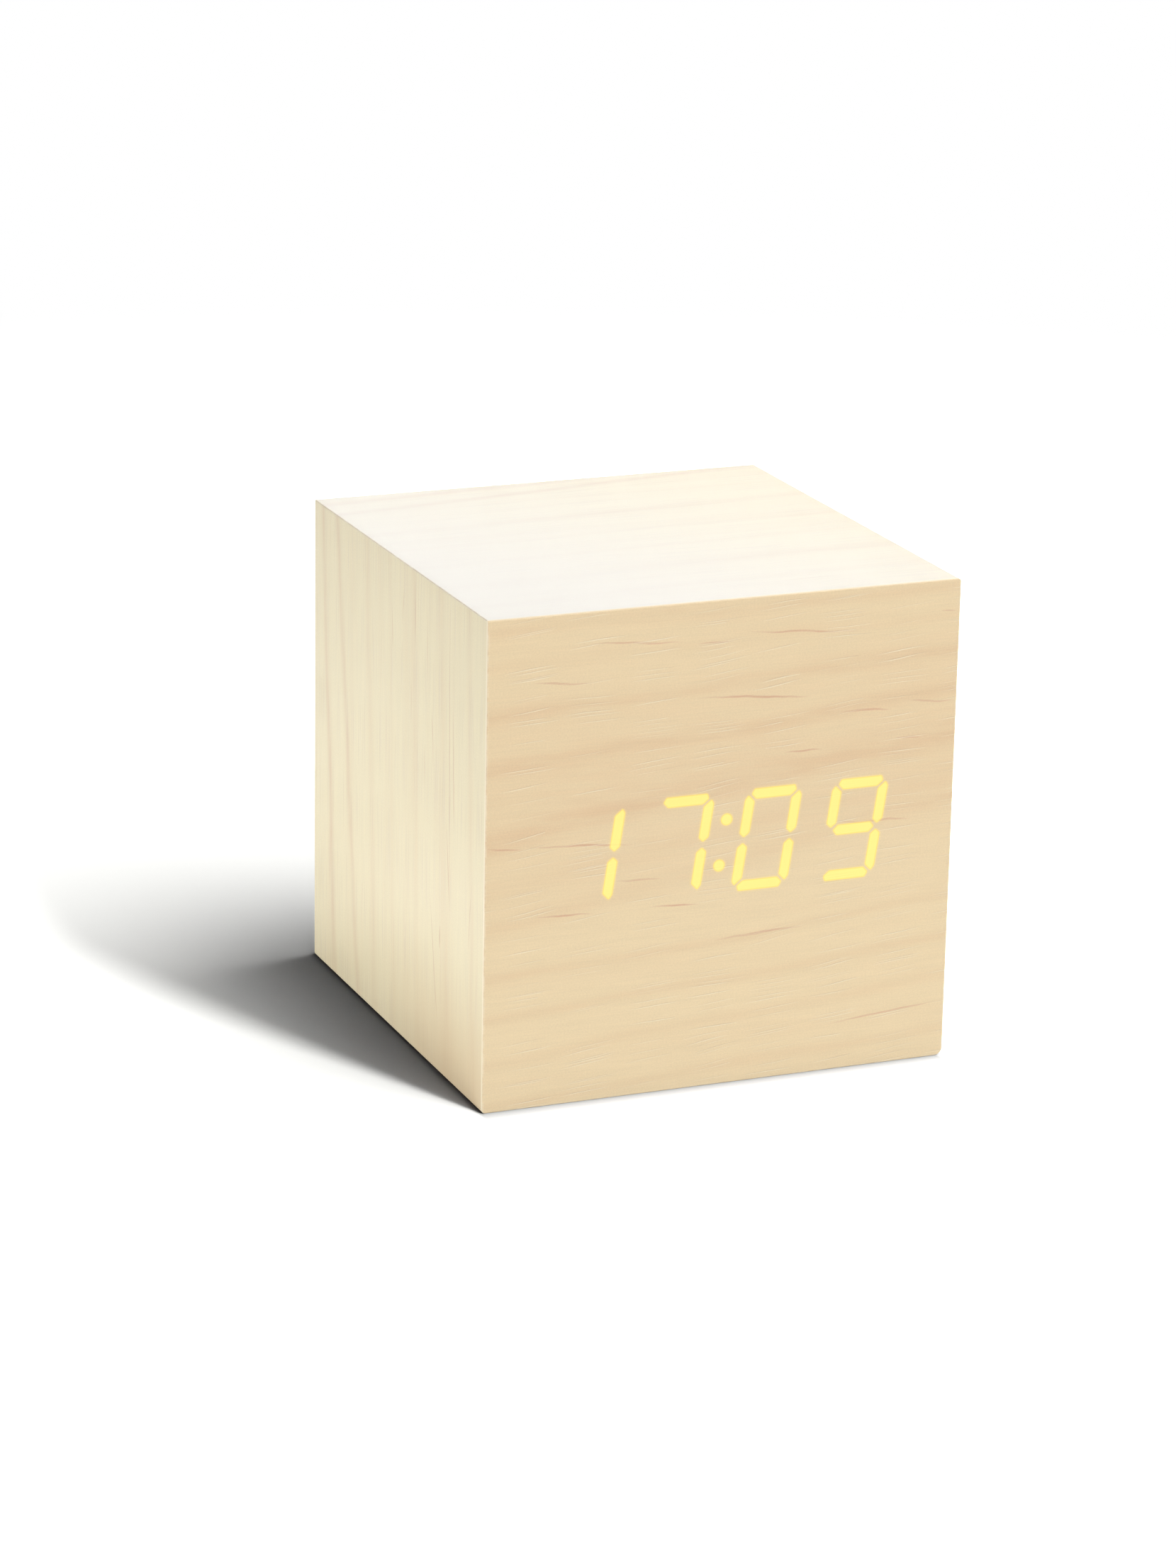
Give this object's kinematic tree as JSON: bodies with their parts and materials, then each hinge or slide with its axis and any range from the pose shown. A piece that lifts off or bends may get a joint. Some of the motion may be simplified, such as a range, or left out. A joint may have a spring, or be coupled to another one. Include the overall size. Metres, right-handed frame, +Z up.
{
  "type": "cube alarm clock",
  "caption": "Cube clock in a veneered fibreboard case, with light digits behind the front veneer, and keys, switch, power inlet and battery door in a recessed back cover.",
  "frame": {"origin": "middle of the underside, on the surface that it stands on", "axes": "+Z up, -Y out of the front with the digits, +X to the right seen from the front"},
  "size_m": [0.068, 0.068, 0.068],
  "materials": {
    "veneer": "satin pale wood veneer",
    "lit_veneer": "veneer lit from behind",
    "fibreboard": "raw sawn fibreboard",
    "pine": "raw sawn softwood",
    "white_plastic": "moulded",
    "clear_fill": "milky cast resin",
    "light_chip": "resin lens",
    "circuit_board": "solder mask",
    "screw_steel": "zinc plated",
    "black_plastic": "moulded",
    "bright_metal": "nickel plated",
    "cream_plastic": "moulded",
    "ribbon_grey": "ribbed sleeve",
    "capacitor_sleeve": "shrink sleeve",
    "button_plastic": "fine texture",
    "cover_plastic": "spark texture",
    "cell_sleeve": "plain foil sleeve",
    "red_wire": "sleeve",
    "black_wire": "sleeve"
  },
  "bodies": {
    "case": {"top_panel": "fibreboard", "bottom_panel": "fibreboard", "left_panel": "fibreboard", "right_panel": "fibreboard", "case_veneer": "veneer", "front_board": "fibreboard", "front_veneer": "veneer", "lit_segments": "lit_veneer", "corner_blocks": "pine", "led_reflector": "white_plastic", "segment_fills": "clear_fill", "led_chips": "light_chip", "display_board": "circuit_board", "display_spacers": "white_plastic", "display_screws": "screw_steel", "clock_chip": "black_plastic", "quartz_crystal": "bright_metal", "chip_resistors": "black_plastic", "backup_cell": "bright_metal", "cell_clip": "bright_metal", "display_socket": "cream_plastic", "ribbon_cable": "ribbon_grey", "control_board": "circuit_board", "control_screws": "screw_steel", "control_socket": "cream_plastic", "capacitors": "capacitor_sleeve", "tact_switches": "black_plastic", "slide_switch": "bright_metal", "power_jack": "black_plastic", "jack_pin": "bright_metal", "buzzer": "black_plastic", "microphone": "bright_metal", "back_cover": "cover_plastic", "cover_screws": "screw_steel", "battery_cells": "cell_sleeve", "contact_plates": "bright_metal", "contact_springs": "bright_metal", "positive_lead": "red_wire", "negative_lead": "black_wire"},
    "door": {"battery_door": "cover_plastic"},
    "switch_slider": {"switch_lever": "black_plastic", "slide_knob": "button_plastic"},
    "set_key": {"set_button": "button_plastic", "set_plunger": "black_plastic"},
    "up_key": {"up_button": "button_plastic", "up_plunger": "black_plastic"},
    "down_key": {"down_button": "button_plastic", "down_plunger": "black_plastic"}
  },
  "joints": [
    {"name": "set_press", "type": "slide", "parent": "case", "child": "set_key", "axis": [0, -1, 0], "range_m": [0, 0.0005], "stiffness_N_per_m": 4000},
    {"name": "up_press", "type": "slide", "parent": "case", "child": "up_key", "axis": [0, -1, 0], "range_m": [0, 0.0005], "stiffness_N_per_m": 4000},
    {"name": "down_press", "type": "slide", "parent": "case", "child": "down_key", "axis": [0, -1, 0], "range_m": [0, 0.0005], "stiffness_N_per_m": 4000},
    {"name": "switch_slide", "type": "slide", "parent": "case", "child": "switch_slider", "axis": [1, 0, 0], "range_m": [0, 0.002]},
    {"name": "door_lift", "type": "hinge", "parent": "case", "child": "door", "pos_m": [0, 0.032, 0.00978], "axis": [-1, 0, 0], "range_deg": [0, 60]}
  ]
}
